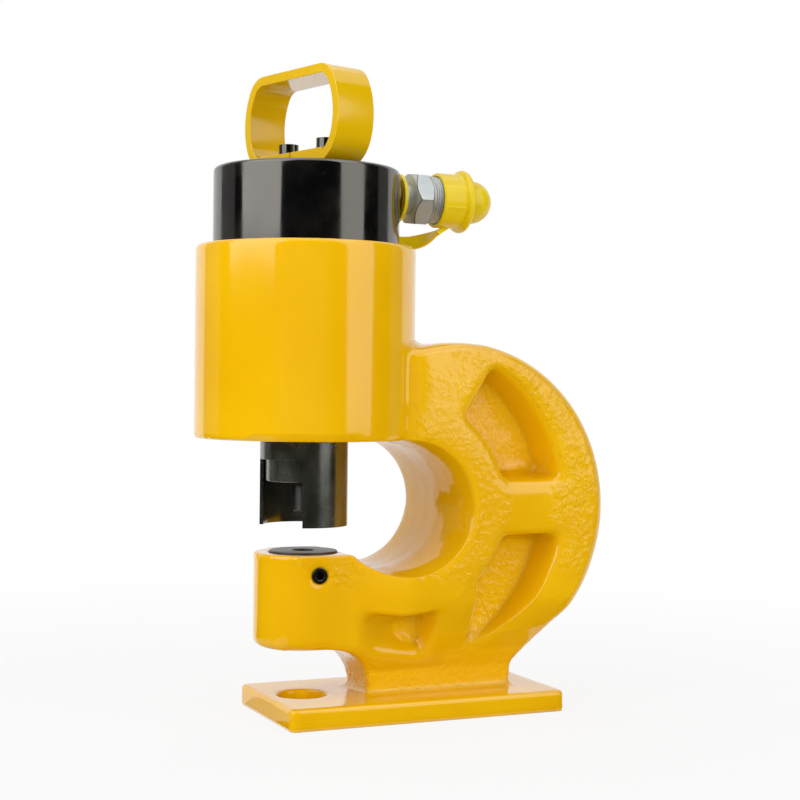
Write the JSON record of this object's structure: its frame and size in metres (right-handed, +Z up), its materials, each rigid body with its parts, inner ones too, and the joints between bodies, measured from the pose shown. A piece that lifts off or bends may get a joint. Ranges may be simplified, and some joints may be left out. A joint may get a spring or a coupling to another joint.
{
  "type": "hydraulic hole punch",
  "caption": "Portable hydraulic hole punch: cast C-frame on a base plate, upright cylinder with sprung ram, punch, die and stripper, carry handle and hose coupler with tethered dust cap.",
  "frame": {"origin": "where the punch axis meets the underside of the base plate, at the centre of the slug hole", "axes": "+Z up along the punch axis, +X from the jaw towards the back of the C-frame, Y across the frame"},
  "size_m": [0.261, 0.14, 0.41],
  "materials": {
    "yellow_enamel": "glossy enamel over cast steel",
    "black_oxide": "oiled black oxide",
    "ground_steel": "ground",
    "spring_steel": "oiled",
    "zinc_plate": "bright zinc plate",
    "bronze": "turned",
    "seal_rubber": "satin",
    "white_plastic": "matte",
    "cap_plastic": "moulded, satin gloss"
  },
  "bodies": {
    "frame": {"base_plate": "yellow_enamel", "c_frame": "yellow_enamel", "die_jaw": "yellow_enamel", "cylinder_barrel": "yellow_enamel", "die": "black_oxide", "die_set_screw": "black_oxide", "stripper": "black_oxide", "stripper_screw": "black_oxide", "rod_bush": "bronze", "rod_wiper": "seal_rubber", "return_spring": "spring_steel", "cylinder_head": "black_oxide", "head_seal": "seal_rubber", "carry_handle": "yellow_enamel", "handle_screws": "black_oxide", "coupler_adapter": "zinc_plate", "coupler_washer": "bronze", "coupler_body": "zinc_plate", "coupler_spring": "spring_steel", "coupler_seat_ring": "zinc_plate", "cap_ring": "cap_plastic", "cap_strap": "cap_plastic"},
    "ram": {"ram": "ground_steel", "piston_seal": "seal_rubber", "piston_backup_ring": "white_plastic", "piston_guide_ring": "bronze", "punch_nut": "black_oxide", "punch": "ground_steel"},
    "check_valve": {"coupler_poppet": "bronze"},
    "dust_cap": {"dust_cap": "cap_plastic"}
  },
  "joints": [
    {"name": "ram_slide", "type": "slide", "parent": "frame", "child": "ram", "axis": [0, 0, -1], "range_m": [0, 0.028], "stiffness_N_per_m": 9000, "springref_m": -0.012, "deforming": ["return_spring"]},
    {"name": "check_valve_slide", "type": "slide", "parent": "frame", "child": "check_valve", "axis": [-1, 0, 0], "range_m": [0, 0.004], "stiffness_N_per_m": 900, "springref_m": -0.004, "deforming": ["coupler_spring"]},
    {"name": "dust_cap_pull", "type": "slide", "parent": "frame", "child": "dust_cap", "axis": [1, 0, 0], "range_m": [0, 0.02], "deforming": ["cap_strap"]}
  ]
}
